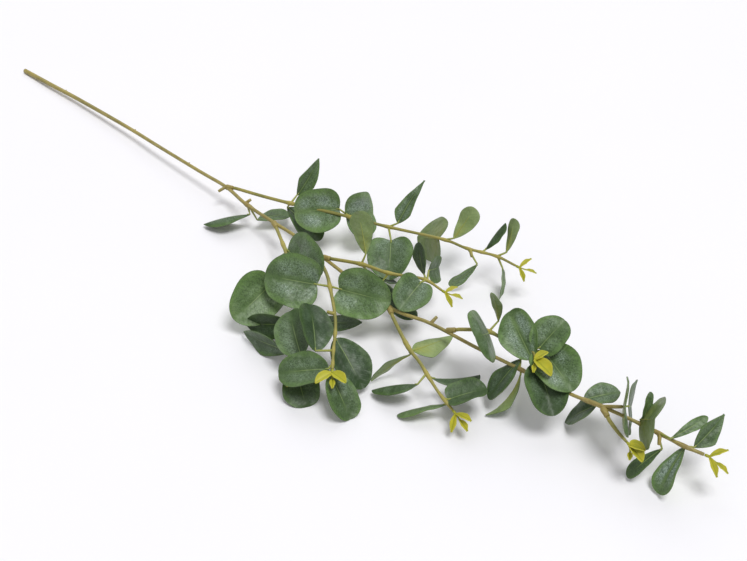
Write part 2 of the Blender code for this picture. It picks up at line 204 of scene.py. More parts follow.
# A leaf stands on its twig at so many millimetres along it. Its blade points along heading and
# rise, in degrees, and turn rolls it about that line. A stalk that isn't in line with the blade
# is given as its reach in millimetres. Arch bends the rib and fold lifts the two halves, both in
# degrees. Broad is where it is broadest, from 0 to 1, and blunt runs from 1, pointed, to 2, round.
Leaf = namedtuple(
    "Leaf", "along heading rise long wide turn stalk arch fold broad blunt", defaults=(None, 18, 12, None, 2)
)

LEAVES = {
    "main_stem": [
        Leaf(403, -140, -16, 48, 26, 30, (7, -4, -5), fold=-22, blunt=1.4),
        Leaf(406, 67, -7, 34, 20, 0, (11, -1, -10), fold=6),
        Leaf(739, -101, -39, 42, 25, 25, (-3, 6, 5), fold=4),
        Leaf(741, -105, -40, 45, 20, -135, (1, -2, -3), arch=50, blunt=1.2),
        Leaf(807, -165, -54, 38, 24, -15, (1, 3, -4), fold=6, broad=0.42, blunt=1.3),
        Leaf(802, 54, 4, 30, 22, 8, (-4, 1, -2), fold=10, broad=0.6, blunt=1.4),
        Leaf(814, -62, 47, 36, 46, -85, (12, 11, 0), arch=8, fold=3),
        Leaf(814, 109, -45, 37, 44, 80, (15, 14, 0), arch=8, fold=3),
        Leaf(849, 106, 55, 25, 12, 65, (-3, 0, 2), fold=5),
        Leaf(848, -43, 49, 37, 44, -115, (-4, 2, 2), arch=8),
        Leaf(860, -121, -43, 35, 13, 0, (8, -4, -9), fold=8, broad=0.68),
        Leaf(861, 68, 14, 34, 9, 30, (11, -2, 4), fold=4, broad=0.65),
        Leaf(880, -90, -45, 41, 22, 25, (2, 2, -2), fold=10, broad=0.72),
        Leaf(883, 83, 20, 36, 19, 45, (5, 4, 0), broad=0.38, blunt=1.15),
    ],
    "twig_a": [
        Leaf(81, 91, 39, 41, 21, 70, (-2, 11, 3), fold=10, broad=0.34, blunt=1.3),
        Leaf(81, 3, -25, 46, 28, 10, (-7, 2, -9)),
        Leaf(144, -147, -11, 44, 44, -50, (-15, 0, 2)),
        Leaf(144, 86, -22, 38, 48, 60, (-5, -1, -2)),
        Leaf(182, 93, 33, 48, 19, -5, (6, 6, 4), fold=8, broad=0.22, blunt=1.1),
        Leaf(182, -51, -16, 43, 44, 5, (11, -9, -5)),
        Leaf(236, 168, -30, 36, 46, 126, (-6, -1, -1)),
        Leaf(236, 80, 45, 34, 21, -170, (7, 4, 3), fold=8, broad=0.7),
        Leaf(260, -120, -34, 32, 13, -85, (14, -4, -8), fold=6, broad=0.7),
        Leaf(273, 69, 51, 31, 18, -30, (0, 5, 0), fold=-22),
        Leaf(287, 104, 67, 33, 13, 160, (5, 7, 3), fold=8, broad=0.72),
        Leaf(288, -57, -58, 29, 20, -80, (7, -1, -9), fold=4),
    ],
    "twig_b": [
        Leaf(37, -10, 8, 54, 48, 40, (10, -4, 1)),
        Leaf(64, -89, -13, 48, 46, -40, (10, -31, 1)),
        Leaf(132, 54, -15, 50, 17, 80, (8, 4, -3), fold=6, blunt=1.4),
        Leaf(136, -156, -15, 46, 30, -80, (-1, -6, -2), blunt=1.3),
        Leaf(172, 146, 12, 46, 36, -28, (8, -6, 4), broad=0.42),
        Leaf(172, -177, -11, 58, 24, -85, (-6, -3, -3), blunt=1.3),
        Leaf(180, -30, -27, 28, 32, 5, (10, -11, -8), fold=5),
    ],
    "twig_c": [
        Leaf(63, -148, 5, 46, 50, -48, (-8, -8, 3)),
        Leaf(63, 20, 1, 48, 46, 47),
        Leaf(121, -16, -27, 49, 34, 0, (1, -1, -4)),
        Leaf(140, 140, 15, 46, 34, 31, (-8, -13, 4)),
        Leaf(154, -144, -13, 43, 33, -25, (0, -5, -2)),
        Leaf(154, -16, -41, 40, 30, -5, (4, -7, -5)),
    ],
    "twig_d": [
        Leaf(43, 147, 46, 39, 24, 142, (0, 6, 8), fold=6, broad=0.72),
        Leaf(43, 51, -20, 22, 14, -15, (9, 8, -18), fold=8),
        Leaf(72, 13, -39, 44, 26, 85, (-2, -6, -7)),
        Leaf(106, -84, -13, 34, 34, -20, (-1, -6, 1)),
        Leaf(106, 149, 57, 29, 18, -70, (-4, 2, 3), fold=4),
        Leaf(107, 101, -28, 22, 25, 75, (-5, 8, 4)),
    ],
    "twig_e": [
        Leaf(47, -125, -36, 41, 15, 65, (9, -5, -3), fold=8),
        Leaf(52, 80, -12, 46, 24, 180, (3, 2, -3), arch=6, broad=0.32, blunt=1.3),
        Leaf(82, -153, -24, 42, 22, 30, (0, -11, -4), fold=-22, broad=0.35),
        Leaf(85, 51, -4, 40, 23, -38, (2, 3, -3), arch=-18, fold=-26),
        Leaf(112, -141, -21, 42, 15, 25, (0, 1, -4), fold=-10, broad=0.6),
        Leaf(109, 52, 11, 32, 30, -5, (3, 3, -1)),
    ],
    "twig_f": [
        Leaf(35, -74, 36, 41, 46, -50, (6, -4, 4), fold=-5),
        Leaf(38, -147, 77, 31, 12, 52, (1, 11, 5), fold=6),
        Leaf(76, 153, 19, 46, 34, -40, (8, -5, -2)),
        Leaf(76, 78, 32, 31, 32, 15, (8, 3, 4)),
        Leaf(78, -22, -8, 43, 40, 12, (9, 7, -1)),
        Leaf(76, -35, -20, 47, 36, 5, (12, -4, -4)),
    ],
    "twig_h": [],
}

# Cut stubs and the side twiglet: millimetres along, heading, rise and length
STUBS = {
    "main_stem": [
        (362, -100, -10, 9), (399, 60, 30, 7), (650, 80, 30, 8), (814, 13, 27, 17), (862, -60, -20, 9),
    ],
    "twig_a": [(262, -40, -20, 8)],
    "twig_c": [(98, -150, 10, 7)],
}

# The nubs: millimetres along and heading
NUBS = [(78, 90), (176, -80), (206, 100), (236, -90), (300, 80)]

# The shoot at each end: heading, rise, length and width of its three leaflets
SHOOTS = {
    "main_stem": [(49, 22, 15, 7), (-31, -28, 16, 7), (-3, -16, 18, 6)],
    "twig_a": [(73, 21, 14, 6), (-22, -43, 13, 6), (25, -10, 16, 5)],
    "twig_b": [(-103, -7, 14, 7), (-36, -10, 14, 7), (-68, -15, 15, 6)],
    "twig_c": [(-101, -3, 17, 12), (-4, 2, 16, 12), (-47, -8, 15, 6)],
    "twig_d": [(63, 14, 12, 6), (-19, -31, 14, 6), (25, -11, 16, 6)],
    "twig_e": [(5, 4, 15, 8), (-65, -38, 15, 7), (-13, -22, 17, 7)],
    "twig_f": [(60, 25, 12, 9), (-15, -4, 20, 15), (-60, -2, 14, 5)],
    "twig_h": [(15, 2, 12, 12), (-12, -22, 15, 13), (-55, -32, 11, 5)],
}

# How strong the pale bloom and painted sheen are on each leaf, and how dark its print and painted shade
TONES_SHEEN_AND_SHADE = {
    "main_stem": [
        (0.2, 0.75), (0.3, 0.5), (0.35, 0.9), (0.9, 0.05), (0.2, 0.85), (0.4, 0.6), (0.3, 0.3),
        (0.2, 0.8), (0.3, 0.3), (0.15, 0.35), (0.2, 0.65), (0.4, 0.05), (1.6, 0), (0.45, 0.5),
    ],
    "twig_a": [
        (0.2, 0.5), (0.2, 0.85), (1.1, 0), (1.1, 0.1), (0.4, 0.6), (0.6, 0.5),
        (0.1, 0.4), (0.1, 0.1), (0.3, 0.1), (0.1, 0.85), (0.1, 0.15), (0, 0.1),
    ],
    "twig_b": [(0.6, 0.35), (0.25, 0), (0.2, 0.9), (0.2, 0.9), (0.3, 0.6), (0.3, 0.75), (0.2, 0.75)],
    "twig_c": [(0.8, 0.25), (0.7, 0), (0.15, 1), (0.2, 1), (0.35, 0.55), (0.7, 0.5)],
    "twig_d": [(0.1, 0.25), (0.2, 0.9), (0.1, 0.95), (0.6, 0.45), (0.1, 0.95), (0.2, 0.65)],
    "twig_e": [(0.2, 0.15), (0.2, 0.15), (0.1, 0.8), (0.05, 1), (0.1, 0.25), (0.1, 0.8)],
    "twig_f": [(0.4, 0.5), (0.5, 0.2), (1, 0.1), (0.5, 0.25), (1, 0.25), (0.3, 0.8)],
}


def direction(heading, rise):
    """A unit vector from a heading and a rise in degrees."""
    level = cos(radians(rise))
    return Vector((level * cos(radians(heading)), level * sin(radians(heading)), sin(radians(rise))))


def smooth_route(points):
    """Places read from one smooth curve through the route's own points."""
    ends = [points[0] * 2 - points[1], *points, points[-1] * 2 - points[-2]]
    places = []
    for p0, p1, p2, p3 in zip(ends, ends[1:], ends[2:], ends[3:]):
        count = max(1, round((p2 - p1).length / FINE_SAMPLE))
        for index in range(count):
            t = index / count
            places.append(
                (p1 * 2 + (p2 - p0) * t + (p0 * 2 - p1 * 5 + p2 * 4 - p3) * t ** 2
                 + (p1 * 3 - p0 - p2 * 3 + p3) * t ** 3) / 2
            )
    return [*places, points[-1]]


def at_distance(places, distance):
    """The place and heading so far along a row of places."""
    for a, b in zip(places, places[1:]):
        size = (b - a).length
        if distance <= size or b is places[-1]:
            return a + (b - a) * (distance / size), (b - a).normalized()
        distance -= size


def length_of(places):
    return sum((b - a).length for a, b in zip(places, places[1:]))


def route_of(name):
    return [Vector(point) * MM - MIDDLE for point in ROUTES[name]]


def twig_start(name):
    route = route_of(name)
    return route[0], (route[1] - route[0]).normalized()


def twig_route(name):
    """The twig's route, which starts clear of its collar's mouth."""
    start, towards = twig_start(name)
    first = start + towards * (COLLAR + GAP)
    return [first, first + towards * STRAIGHT, *route_of(name)[2:]]


def stem_places(name):
    return smooth_route(route_of(name) if name == "main_stem" else twig_route(name))


def counted_places(name):
    """The places that leaf distances are counted along: a twig's are counted from inside the stem."""
    places = stem_places(name)
    return places if name == "main_stem" else [route_of(name)[0], *places]


class Mesh:
    """A bmesh with the layers that the prints, their painted sheen and shade, and the plastics read."""

    def __init__(self):
        self.bm = bmesh.new()
        verts = self.bm.verts.layers.float
        names = ("along", "across", "edge", "bloom", "dark", "knuckle")
        self.layers = {name: verts.new(name) for name in names}
        self.under = self.bm.faces.layers.float.new("under")

    def mark(self, vert, **values):
        for name, value in values.items():
            vert[self.layers[name]] = value

    def piece(self, name, material, sharp_from=SHARP_ROD):
        mesh = bpy.data.meshes.new(name)
        self.bm.to_mesh(mesh)
        self.bm.free()
        mesh.materials.append(material)
        mesh.shade_smooth()
        mesh.set_sharp_from_angle(angle=radians(sharp_from))
        item = bpy.data.objects.new(name, mesh)
        bpy.context.scene.collection.objects.link(item)
        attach(item, "root")
        return item


def domed(places, radii, knuckles):
    """Adds a small ring at each end, so that the rod ends in a low dome."""
    start = (places[0] - places[1]).normalized() * radii[0] * DOME_HEIGHT
    end = (places[-1] - places[-2]).normalized() * radii[-1] * DOME_HEIGHT
    places = [places[0], places[0] - start, *places[1:-1], places[-1] - end, places[-1]]
    radii = [radii[0] * DOME_RIM, radii[0], *radii[1:-1], radii[-1], radii[-1] * DOME_RIM]
    knuckles = [knuckles[0], *knuckles, knuckles[-1]]
    return places, radii, knuckles


def next_ring(bm, ring):
    """Extrudes a ring of edges. The new corners keep the order of the old ones."""
    old = set(ring)
    edges = dict.fromkeys(edge for vert in ring for edge in vert.link_edges if edge.other_vert(vert) in old)
    made = bmesh.ops.extrude_edge_only(bm, edges=list(edges))["geom"]
    new = {item for item in made if isinstance(item, bmesh.types.BMVert)}
    return [next(edge.other_vert(vert) for edge in vert.link_edges if edge.other_vert(vert) in new)
            for vert in ring]


def rod(mesh, places, radii, sides, knuckles=None):
    """A closed round rod through the places, with one radius for each and domed ends."""
    bm = mesh.bm
    places, radii, knuckles = domed(places, radii, knuckles or [0] * len(places))
    rings = [bmesh.ops.create_circle(bm, cap_ends=True, radius=1, segments=sides)["verts"]]
    for _ in places[1:]:
        rings.append(next_ring(bm, rings[-1]))
    bmesh.ops.contextual_create(bm, geom=[edge for edge in bm.edges if edge.is_boundary])
    forward = (places[1] - places[0]).normalized()
    side = forward.cross(Vector((0, 0, 1)) if abs(forward.z) < 0.9 else Vector((1, 0, 0)))
    last = len(places) - 1
    for index, ring in enumerate(rings):
        forward = (places[min(last, index + 1)] - places[max(0, index - 1)]).normalized()
        side = (side - forward * side.dot(forward)).normalized()
        up = forward.cross(side)
        for corner, vert in enumerate(ring):
            angle = 2 * pi * corner / sides
            vert.co = places[index] + (side * cos(angle) + up * sin(angle)) * radii[index]
            vert.co.z = max(vert.co.z, 0)
            mesh.mark(vert, knuckle=knuckles[index], along=index / last)
    faces = dict.fromkeys(face for ring in rings for vert in ring for face in vert.link_faces)
    bmesh.ops.recalc_face_normals(bm, faces=list(faces))


def swell_at(distance, knots):
    return max((exp(-(((distance - knot) / KNUCKLE_REACH) ** 2)) for knot in knots), default=0)


def rod_radius(distance, total, first, middle, last):
    """Taper from first to middle to last."""
    share = distance / total
    radius = first + (middle - first) * min(1, share / TAPER_TURNS)
    return radius + (last - middle) * max(0, (share - TAPER_TURNS) / (1 - TAPER_TURNS))


def knots_on(name):
    """Distances of a stem's knuckles from its own start."""
    shift = 0 if name == "main_stem" else COLLAR + GAP
    return sorted({leaf.along * MM - shift for leaf in LEAVES[name]})


def stem_radii(name):
    if name == "main_stem":
        return BUTT_RADIUS, STEM_RADIUS, TIP_RADIUS
    return TWIG_RADIUS, TWIG_RADIUS, TWIG_END_RADIUS


def between(pair, share):
    return pair[0] + (pair[1] - pair[0]) * share


def plumpness(leaf):
    """0 for a slim blade, 1 for a round one."""
    slim, plump = SLIM_AND_PLUMP
    return min(1, max(0, (leaf.wide / leaf.long - slim) / (plump - slim)))


def outline(leaf, share):
    """Half width of a blade at a share of its length, as a share of its greatest half width."""
    plump = plumpness(leaf)
    broadest = leaf.broad or between(BROADEST, plump)
    if share < broadest:
        rest, power = 1 - share / broadest, between(BASE_ROUNDNESS, plump)
    else:
        rest, power = (share - broadest) / (1 - broadest), leaf.blunt
    return (1 - rest ** power) ** (1 / power)


def blade_half(leaf, t, u=0, phase=0):
    """Half width of a blade, a little uneven along its edges."""
    uneven = 1 + UNEVEN * sin(3 * pi * t + phase + 1.6 * u) * abs(u)
    return max(leaf.wide / 2 * MM * outline(leaf, t) * uneven, NARROWEST)


def blade_tilt(leaf, u):
    """A blade's halves fold up a little more towards their edges."""
    return radians(leaf.fold) * (1 + 0.6 * abs(u))


def blade_lift(leaf, t, u, half, wave, phase):
    """How far a blade's halves rise over its rib: by fold, wave, rippled edges and a soft puff."""
    creased = sqrt(u * u + CREASE ** 2) - CREASE
    lift = half * creased * sin(blade_tilt(leaf, u)) + wave * half * u * u * sin(2 * pi * t + 2.1 * u)
    lift += RIPPLE * abs(u) ** 3 * sin(5 * pi * t + 3 * u + phase) * sin(pi * t)
    lift += PUFF * half * 4 * abs(u) * (1 - abs(u)) * sin(pi * t) * (0.6 + 0.4 * sin(3 * pi * t + phase))
    return lift


def blade_place(leaf, t, u, wave=0, phase=0):
    """The middle surface of a blade lying along +X: t runs to the tip, u from edge to edge."""
    half = blade_half(leaf, t, u, phase)
    bend = radians(leaf.arch)
    angle = bend * (t - 0.5)
    arc = leaf.long * MM / bend
    x = arc * (sin(angle) + sin(bend / 2)) - LOBE * plumpness(leaf) * half * u * u * (1 - t) ** 2
    z = arc * (cos(angle) - cos(bend / 2))
    lift = blade_lift(leaf, t, u, half, wave, phase)
    return Vector((x + lift * sin(angle), half * u * cos(blade_tilt(leaf, u)), z + lift * cos(angle)))


def blade_turn(leaf):
    """Turns +X to the leaf's heading and rise, with the blade rolled about that line."""
    pitch = Matrix.Rotation(radians(leaf.heading), 4, "Z") @ Matrix.Rotation(radians(-leaf.rise), 4, "Y")
    return pitch @ Matrix.Rotation(radians(leaf.turn), 4, "X")


def settle(height):
    """The height of a blade that bends as it comes down on the surface, and never sinks into it."""
    return max(0, SOFTNESS * (log(1 + exp(height / SOFTNESS)) - PRESS))


def on_surface(place, thickness=SOLID_BLADE):
    place.z = thickness / 2 + settle(place.z - thickness / 2)
    return place


def blade(mesh, leaf, base, wave=0, phase=0, tone_and_light=(0, 0), grid=LEAF_GRID, thickness=BLADE):
    """One thin blade with the marks that its print, painted sheen and painted shade read."""
    bm = mesh.bm
    turn = blade_turn(leaf)
    made = bmesh.ops.create_grid(bm, x_segments=grid[0], y_segments=grid[1], size=1)["verts"]
    for vert in made:
        t, u = (1 - cos(pi * (vert.co.x + 1) / 2)) / 2, vert.co.y
        from_rib = blade_half(leaf, t) * u / MM
        mesh.mark(vert, along=t, across=from_rib, edge=abs(u), bloom=tone_and_light[0], dark=tone_and_light[1])
        vert.co = on_surface(base + turn @ blade_place(leaf, t, u, wave, phase))
    faces = list(dict.fromkeys(face for vert in made for face in vert.link_faces))
    bm.normal_update()
    for vert in made:
        vert.co += vert.normal * thickness / 2
    top = sum((face.normal for face in faces), Vector()).normalized()
    others = set(bm.faces) - set(faces)
    new = bmesh.ops.solidify(bm, geom=faces, thickness=thickness)["geom"]
    bm.normal_update()
    for face in set(bm.faces) - others:
        face[mesh.under] = 1 if face.normal.dot(top) < 0 else 0
    for face in new:
        if isinstance(face, bmesh.types.BMFace):
            for vert in face.verts:
                vert.co.z = max(vert.co.z, 0)


def rib(mesh, leaf, base, wave, phase):
    """The moulded rib that stands proud under a blade, thinning to nothing along it."""
    turn = blade_turn(leaf)
    below = turn @ Vector((0, 0, -BLADE * RIB_DEPTH))
    shares = [step / RIB_STEPS for step in range(RIB_STEPS + 1)]
    places = []
    for share in shares:
        place = blade_place(leaf, RIB_START + RIB_SHARE * share, 0, wave, phase)
        places.append(on_surface(base + turn @ place + below))
    rod(mesh, places, [between(RIB_RADII, share) for share in shares], STALK_SIDES)


def stalk(mesh, leaf, root, base):
    """The stalk from the twig's side into the blade, bent where it leaves the twig."""
    into = base + blade_turn(leaf) @ blade_place(leaf, STALK_IN_BLADE, 0)
    straight = (root * 2 + base) / 3 + (base - root).normalized() * STALK_STRAIGHT
    places = [root, straight, root.lerp(base, 0.7), base, into]
    if (base - root).length > LONG_STALK:
        places = smooth_route(places)
    last = len(places) - 1
    rod(mesh, places, [STALK_RADIUS * between(STALK_TAPER, index / last) for index in range(last + 1)],
        STALK_SIDES)


def leaf_base(leaf, places):
    """Where the stalk starts on the twig's middle line, and where the blade starts."""
    root, _ = at_distance(places, leaf.along * MM)
    reach = Vector(leaf.stalk) * MM if leaf.stalk else direction(leaf.heading, leaf.rise) * STALK
    return root, root + reach


def make_leaves(name, print_material, stalk_material):
    """The blades of one stem in one piece, and their moulded stalks and ribs in another."""
    places = counted_places(name)
    draw = random.Random(name)
    waves = [draw.uniform(-WAVE, WAVE) for _ in LEAVES[name]]
    blades, stalks = Mesh(), Mesh()
    for leaf, wave, tone_and_light in zip(LEAVES[name], waves, TONES_SHEEN_AND_SHADE[name]):
        root, base = leaf_base(leaf, places)
        phase = draw.uniform(0, 2 * pi)
        blade(blades, leaf, base, wave, phase, tone_and_light)
        rib(stalks, leaf, base, wave, phase)
        stalk(stalks, leaf, root, base)
    blades.piece(f"leaves_{name}", print_material, SHARP_LEAF)
    stalks.piece(f"stalks_{name}", stalk_material)


def stub(mesh, places, along, heading, rise, long):
    """The short end that is left where a side twig was cut off."""
    root, _ = at_distance(places, along * MM)
    end = root + direction(heading, rise) * long * MM
    radii = [TWIG_RADIUS, TWIG_RADIUS * 0.95, TWIG_RADIUS * STUB_TAPER]
    rod(mesh, [root, root.lerp(end, 0.5), end], radii, SIDES, [1, 0.6, 0.3])


def collar(mesh, twig):
    """A sleeve that flows out of the stem, with a rounded lip round the twig."""
    start, towards = twig_start(twig)
    shares, sizes, browns = zip(*COLLAR_SHAPE)
    places = [start + towards * COLLAR * share for share in shares]
    rod(mesh, places, [COLLAR_RADIUS * size for size in sizes], SIDES, list(browns))


def nub(mesh, places, along, heading):
    """A trace of the mould on the bare stem."""
    root, ahead = at_distance(places, along * MM)
    side = direction(heading, NUB_RISE)
    out = rod_radius(along * MM, length_of(places), *stem_radii("main_stem"))
    start, end = root + side * out * 0.6, root + side * (out + NUB_HEIGHT) + ahead * NUB_SLANT
    rod(mesh, [start, end], NUB_RADII, STALK_SIDES, [1, 1])


def make_stem(name, material):
    """The knuckled rod with its stubs, and on the main stem the collars of the twigs."""
    mesh = Mesh()
    places = stem_places(name)
    total = length_of(places)
    knots = knots_on(name)
    count = round(total / RING_STEP)
    stations = [total * index / count for index in range(count + 1)]
    swells = [swell_at(station, knots) for station in stations]
    radii = [rod_radius(s, total, *stem_radii(name)) * (1 + KNUCKLE * w) for s, w in zip(stations, swells)]
    rod(mesh, [at_distance(places, s)[0] for s in stations], radii, SIDES, swells)
    for numbers in STUBS.get(name, []):
        stub(mesh, counted_places(name), *numbers)
    if name == "main_stem":
        for twig in ROUTES:
            if twig != name:
                collar(mesh, twig)
        for along, heading in NUBS:
            nub(mesh, places, along, heading)
    stem = mesh.piece(f"stem_{name}", material)
    return stem


def make_shoot(name, material):
    """The yellow-green tip: two broad leaflets and a smaller one on a thin stalk."""
    mesh = Mesh()
    places = stem_places(name)
    ahead = (places[-1] - places[-2]).normalized()
    foot = places[-1] + ahead * GAP
    crown = foot + ahead * CROWN
    radii = [TWIG_END_RADIUS, TWIG_END_RADIUS * 1.15, TWIG_END_RADIUS]
    rod(mesh, [foot, foot.lerp(crown, 0.5), crown], radii, SIDES, [1, 1, 0.5])
    for number, (heading, rise, long, wide) in enumerate(SHOOTS[name]):
        stalked = number == 2
        bare = LEAFLET_STALK if stalked else -LEAFLET_SINK
        blunt = LEAFLET_BLUNT + BROAD_LEAFLET_BLUNT * (wide > long / 2)
        leaflet = Leaf(0, heading, rise, long - bare, wide, 0, fold=LEAFLET_FOLD, blunt=blunt)
        base = crown + direction(heading, rise) * bare * MM
        blade(mesh, leaflet, base, grid=LEAFLET_GRID, thickness=SOLID_BLADE)
        if stalked:
            rod(mesh, [crown - ahead * MM, crown.lerp(base, 0.5), base], LEAFLET_STALK_RADII, STALK_SIDES)
    shoot = mesh.piece(f"tip_{name}", material)
    return shoot


class Value:
    """A socket that takes part in sums, so that masks can be written as sums."""

    def __init__(self, nodes, socket):
        self.nodes, self.socket = nodes, socket

    def sum(self, operation, *values):
        return self.nodes.node("ShaderNodeMath", {"operation": operation}, values)

    def __add__(self, other):
        return self.sum("ADD", self, other)

    def __sub__(self, other):
        return self.sum("SUBTRACT", self, other)

    def __rsub__(self, other):
        return self.sum("SUBTRACT", other, self)

    def __mul__(self, other):
        return self.sum("MULTIPLY", self, other)

    def __abs__(self):
        return self.sum("ABSOLUTE", self)

    __radd__ = __add__
    __rmul__ = __mul__

    def sine(self):
        return self.sum("SINE", self)

    def between(self, low, high):
        """0 below low and 1 above high, with a smooth step between them."""
        inputs = {"Value": self, "From Min": low, "From Max": high}
        return self.nodes.node("ShaderNodeMapRange", {"interpolation_type": "SMOOTHSTEP"}, inputs)


class Shader:
    """One material's nodes."""

    def __init__(self, name):
        self.material = bpy.data.materials.new(name)
        self.material.use_nodes = True
        self.tree = self.material.node_tree
        self.plastic = self.tree.nodes["Principled BSDF"]
        self.coords = self.node("ShaderNodeTexCoord", {}, {}, "Object")

    def node(self, kind, settings, inputs, output=0):
        """A node of a type, with its settings first and then its inputs, by name or in order."""
        made = self.tree.nodes.new(kind)
        for key, value in settings.items():
            setattr(made, key, value)
        pairs = inputs.items() if isinstance(inputs, dict) else enumerate(inputs)
        for key, value in pairs:
            self.feed(made.inputs[key], value)
        return Value(self, made.outputs[output])

    def feed(self, socket, value):
        if isinstance(value, Value):
            self.tree.links.new(value.socket, socket)
        elif isinstance(value, tuple) and len(value) == 3 and socket.type == "RGBA":
            socket.default_value = (*value, 1)
        else:
            socket.default_value = value

    def mark(self, name):
        return self.node("ShaderNodeAttribute", {"attribute_name": name}, {}, "Fac")

    def noise(self, scale, detail=2, roughness=0.5, at=None):
        inputs = {"Vector": at or self.coords, "Scale": scale, "Detail": detail, "Roughness": roughness}
        return self.node("ShaderNodeTexNoise", {}, inputs, "Fac")

    def stretched(self, scale):
        return self.node("ShaderNodeMapping", {}, {"Vector": self.coords, "Scale": scale}, "Vector")

    def mix(self, share, first, second):
        """One colour turning into another."""
        made = self.tree.nodes.new("ShaderNodeMix")
        made.data_type = "RGBA"
        for key, value in ((0, share), (6, first), (7, second)):
            self.feed(made.inputs[key], value)
        return Value(self, made.outputs[2])

    def bump(self, height, distance, strength=1, normal=None):
        inputs = {"Height": height, "Distance": distance, "Strength": strength}
        if normal:
            inputs["Normal"] = normal
        return self.node("ShaderNodeBump", {}, inputs, "Normal")

    def finish(self, colour, roughness, normal=None, gloss=PLASTIC_GLOSS):
        self.feed(self.plastic.inputs["Base Color"], colour)
        self.feed(self.plastic.inputs["Roughness"], roughness)
        self.plastic.inputs["Specular IOR Level"].default_value = gloss
        if normal:
            self.feed(self.plastic.inputs["Normal"], normal)
        return self.material


def rgb(red, green, blue):
    """A colour from its usual 0 to 255 values, as the linear values that a shader takes."""
    return tuple(c / 12.92 if c <= 0.04045 else ((c + 0.055) / 1.055) ** 2.4
                 for c in (red / 255, green / 255, blue / 255))


# Colours of the leaf cloth and of its painted sheen and shade: pairs run from one cloud to the next
PRINT_GREENS = rgb(92, 120, 68), rgb(120, 146, 92)
# Deep greens: partly the print's own darker tone, partly painted shade on leaves that lie in shade
DEEP_GREENS = rgb(38, 60, 28), rgb(56, 82, 40)
RIM_GREEN = rgb(112, 148, 74)
# Pale haze: partly printed bloom, partly painted sheen
SHEEN_AND_BLOOM_GREY = rgb(134, 154, 140)
POWDER_WHITE = rgb(172, 190, 176)
PEPPER_GREEN = rgb(44, 62, 38)
RIB_SHADE = rgb(58, 80, 44)
VEIN_GREEN = rgb(66, 90, 54)
RIB_LINE = rgb(152, 176, 104)
SAGES = rgb(134, 156, 94), rgb(150, 170, 110)
SAGE_YELLOW = rgb(166, 172, 74)
SAGE_VEIN = rgb(110, 134, 84)
SAGE_SPECK = rgb(170, 184, 150)
# Deep sage: partly the underside's own darker tone, partly painted shade
SAGE_DEEP = rgb(54, 66, 38)
CUT_EDGE = rgb(76, 96, 54)

# Side veins: how many rows there are, how they slant outwards and how much they wander
VEIN_ROWS = 42
VEIN_SLANT = 0.75
VEIN_WANDER = 3

# What a leaf's print, painted sheen and painted shade read at each place
LeafMarks = namedtuple(
    "LeafMarks", "along out edge bloom dark veins reach line shade cloud streaks speck grain"
)


def leaf_marks(s):
    """The marks of the blade, its veins, the clouds and streaks of its colour and the cloth's grain."""
    along, across, edge, bloom = s.mark("along"), s.mark("across"), s.mark("edge"), s.mark("bloom")
    out = abs(across)
    slant = along * VEIN_ROWS - out * VEIN_SLANT + s.noise(120, 2) * VEIN_WANDER
    veins = (slant * 1.5).sine().between(0.75, 1)
    veins = veins * (1 - edge.between(0.55, 0.95)) * out.between(0.4, 1.2)
    reach = 1 - along.between(0.45, 0.8)
    line = (1 - out.between(0.15, 0.5)) * reach
    drawn = s.node("ShaderNodeCombineXYZ", {}, (slant * 0.5, out * 0.5 + across * 0.11, bloom * 7))
    streaks = s.noise(1.1, 3, 0.6, drawn)
    cloud = s.noise(40, 3)
    speck, grain = s.noise(800, 2, 0.6), s.noise(1500, 2, 0.7)
    return LeafMarks(along, out, edge, bloom, s.mark("dark"), veins, reach, line, cloud.between(0.3, 0.7),
                     cloud, streaks, speck, grain)


def leaf_top(s, leaf):
    """Grey-green cloth: greener rim, bloom and powder on the halves, dark pepper, painted sheen and shade.
    """
    # Darker print by each leaf's dark value: partly its own tone, partly painted shade where it lies in
    # shade
    top = s.mix(leaf.dark, s.mix(leaf.shade, *PRINT_GREENS), s.mix(leaf.shade, *DEEP_GREENS))
    rim = (leaf.edge + leaf.streaks * 0.8 + leaf.speck * 0.4 - 0.6).between(0.6, 1)
    top = s.mix(rim * (1 - leaf.dark * 0.6) * 0.5, top, RIM_GREEN)
    halves = leaf.edge.between(0.05, 0.3) * (1 - (leaf.edge + leaf.streaks * 0.5 - 0.25).between(0.5, 0.9))
    halves = halves * (1 - leaf.along.between(0.7, 0.98))
    # Pale haze on the halves of each leaf: partly its printed bloom, partly painted sheen
    haze = (leaf.streaks * 0.3 + leaf.cloud * 0.7).between(0.38, 0.66) * halves * leaf.bloom
    top = s.mix(haze * 0.75, top, SHEEN_AND_BLOOM_GREY)
    pepper = (1 - leaf.speck.between(0.4, 0.52)) * (halves * 0.5 + 0.5)
    top = s.mix(pepper * 0.52, top, PEPPER_GREEN)
    powder = (leaf.speck * 0.4 + leaf.grain * 0.6).between(0.5, 0.62)
    powder = powder * (leaf.cloud.between(0.35, 0.6) * 0.8 + 0.2) * halves
    top = s.mix(powder * leaf.bloom * 0.75, top, POWDER_WHITE)
    shadow = (1 - leaf.out.between(0.5, 3)) * leaf.reach
    top = s.mix(shadow * 0.45, top, RIB_SHADE)
    top = s.mix(leaf.veins * 0.25, top, VEIN_GREEN)
    return s.mix(leaf.line * 0.5, top, RIB_LINE)


def leaf_underside(s, leaf):
    """Sage cloth that turns yellow towards the stalk."""
    sage = s.mix(leaf.shade, *SAGES)
    near = (1 - leaf.along.between(0.05, 0.7)) * (1 - leaf.edge.between(0.3, 0.95))
    sage = s.mix(near * (leaf.bloom * 0.5 + 0.5), sage, SAGE_YELLOW)
    sage = s.mix(leaf.veins * 0.3, sage, SAGE_VEIN)
    sage = s.mix(leaf.speck.between(0.5, 0.65) * 0.25, sage, SAGE_SPECK)
    # Darker sage by each leaf's dark value: partly its own tone, partly painted shade
    return s.mix(leaf.dark * 0.85, sage, SAGE_DEEP)


